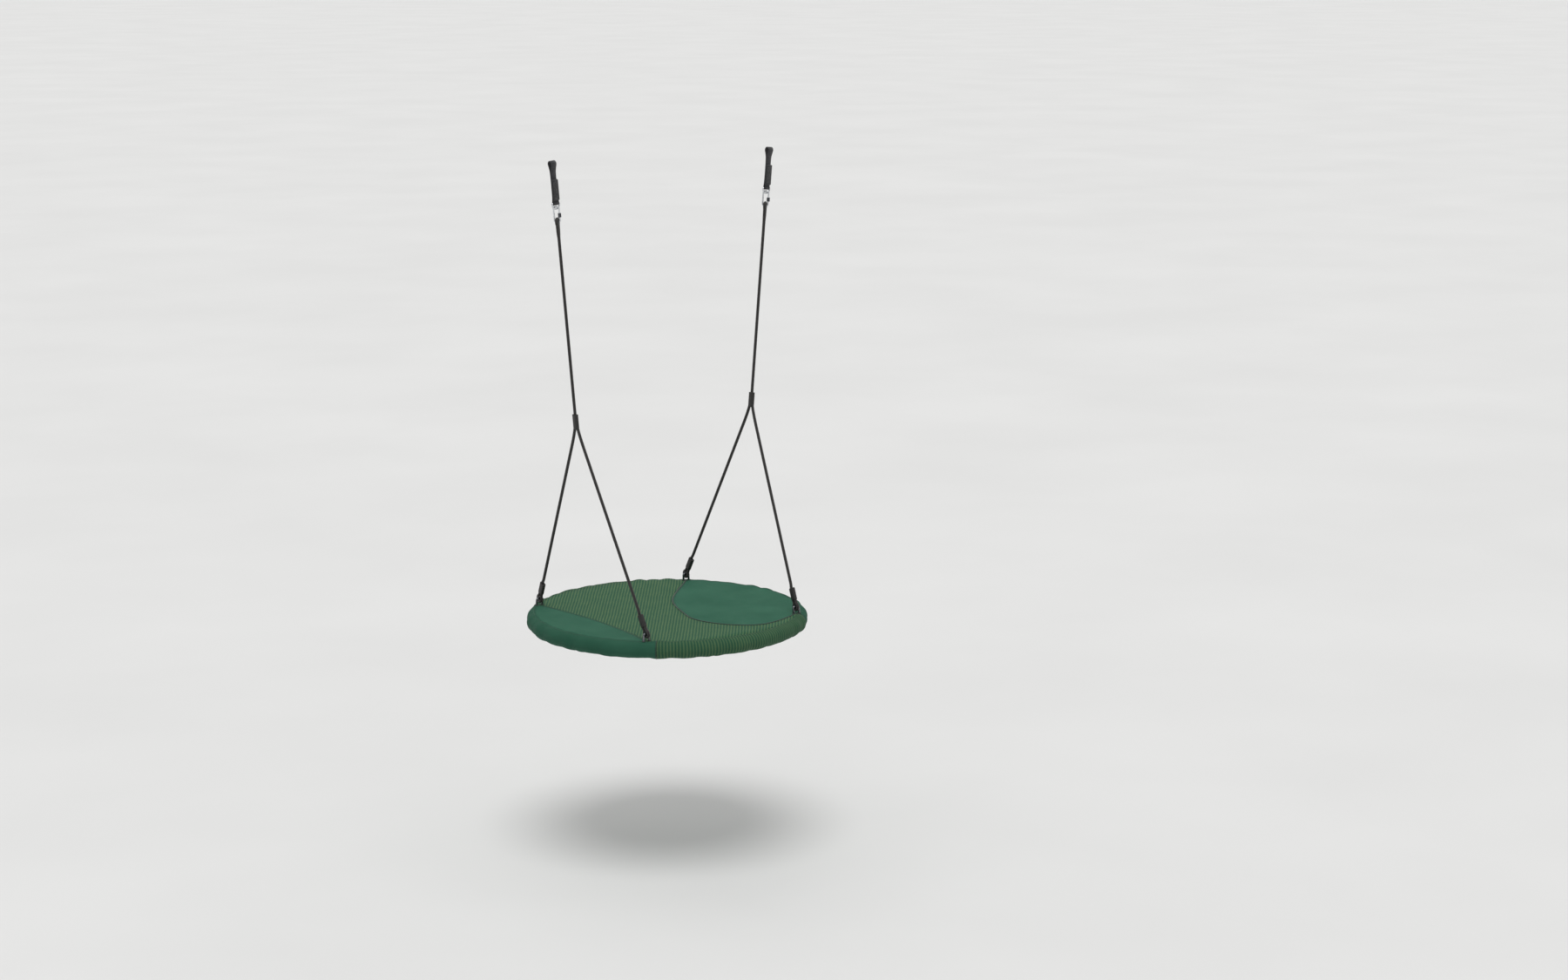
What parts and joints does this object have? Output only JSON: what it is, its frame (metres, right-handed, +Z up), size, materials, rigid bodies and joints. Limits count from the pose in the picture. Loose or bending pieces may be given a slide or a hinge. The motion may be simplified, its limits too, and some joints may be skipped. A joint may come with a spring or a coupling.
{
  "type": "saucer nest swing",
  "caption": "Round nest swing: a padded ring seat with a green sewn mesh and fabric cover, hung from black ropes that split at pressed ferrules, on webbing straps with steel rings and links.",
  "frame": {"origin": "midway between the two webbing loops that the swing hangs by", "axes": "+X along the beam it hangs from, +Z up, -Y to the front"},
  "size_m": [0.9, 0.9, 1.5149],
  "materials": {
    "webbing": "black woven polyester webbing",
    "rope": "black braided rope",
    "ring_steel": "polished plated steel",
    "dark_steel": "dark zinc steel",
    "zinc_steel": "galvanised steel",
    "ferrule": "black sleeve over pressed aluminium",
    "foam": "closed-cell foam",
    "plain_fabric": "dark green coated fabric",
    "mesh_fabric": "olive green ribbed mesh"
  },
  "bodies": {
    "straps": {"left_strap": "webbing", "right_strap": "webbing"},
    "ropes": {"left_d_ring": "ring_steel", "left_link": "ring_steel", "left_top_thimble": "zinc_steel", "left_upper_rope": "rope", "left_y_ferrule": "ferrule", "right_d_ring": "ring_steel", "right_link": "ring_steel", "right_top_thimble": "zinc_steel", "right_upper_rope": "rope", "right_y_ferrule": "ferrule"},
    "seat": {"front_left_rope": "rope", "front_left_ferrule": "ferrule", "front_left_thimble": "zinc_steel", "front_left_lug": "zinc_steel", "front_right_rope": "rope", "front_right_ferrule": "ferrule", "front_right_thimble": "zinc_steel", "front_right_lug": "zinc_steel", "back_right_rope": "rope", "back_right_ferrule": "ferrule", "back_right_thimble": "zinc_steel", "back_right_lug": "zinc_steel", "back_left_rope": "rope", "back_left_ferrule": "ferrule", "back_left_thimble": "zinc_steel", "back_left_lug": "zinc_steel", "front_hoop": "zinc_steel", "back_hoop": "zinc_steel", "left_spigot": "zinc_steel", "right_spigot": "zinc_steel", "hoop_screws": "zinc_steel", "front_foam": "foam", "right_foam": "foam", "back_foam": "foam", "left_foam": "foam", "front_band": "mesh_fabric", "right_band": "plain_fabric", "back_band": "mesh_fabric", "left_band": "plain_fabric", "left_panel": "plain_fabric", "right_panel": "plain_fabric", "mesh_panel": "mesh_fabric", "hem_cord": "rope"},
    "left_nut": {"left_sleeve_nut": "dark_steel"},
    "right_nut": {"right_sleeve_nut": "dark_steel"}
  },
  "joints": [
    {"name": "swing", "type": "hinge", "parent": "straps", "child": "ropes", "pos_m": [0, 0, -0.1205], "axis": [1, 0, 0], "range_deg": [-45, 45]},
    {"name": "seat_tilt", "type": "hinge", "parent": "ropes", "child": "seat", "pos_m": [0, 0, -0.82599], "axis": [1, 0, 0], "range_deg": [-12, 12]},
    {"name": "left_nut_slide", "type": "slide", "parent": "ropes", "child": "left_nut", "axis": [-0.0906, 0, 0.9959], "range_m": [0, 0.0095]},
    {"name": "right_nut_slide", "type": "slide", "parent": "ropes", "child": "right_nut", "axis": [0.0906, 0, 0.9959], "range_m": [0, 0.0095]}
  ]
}
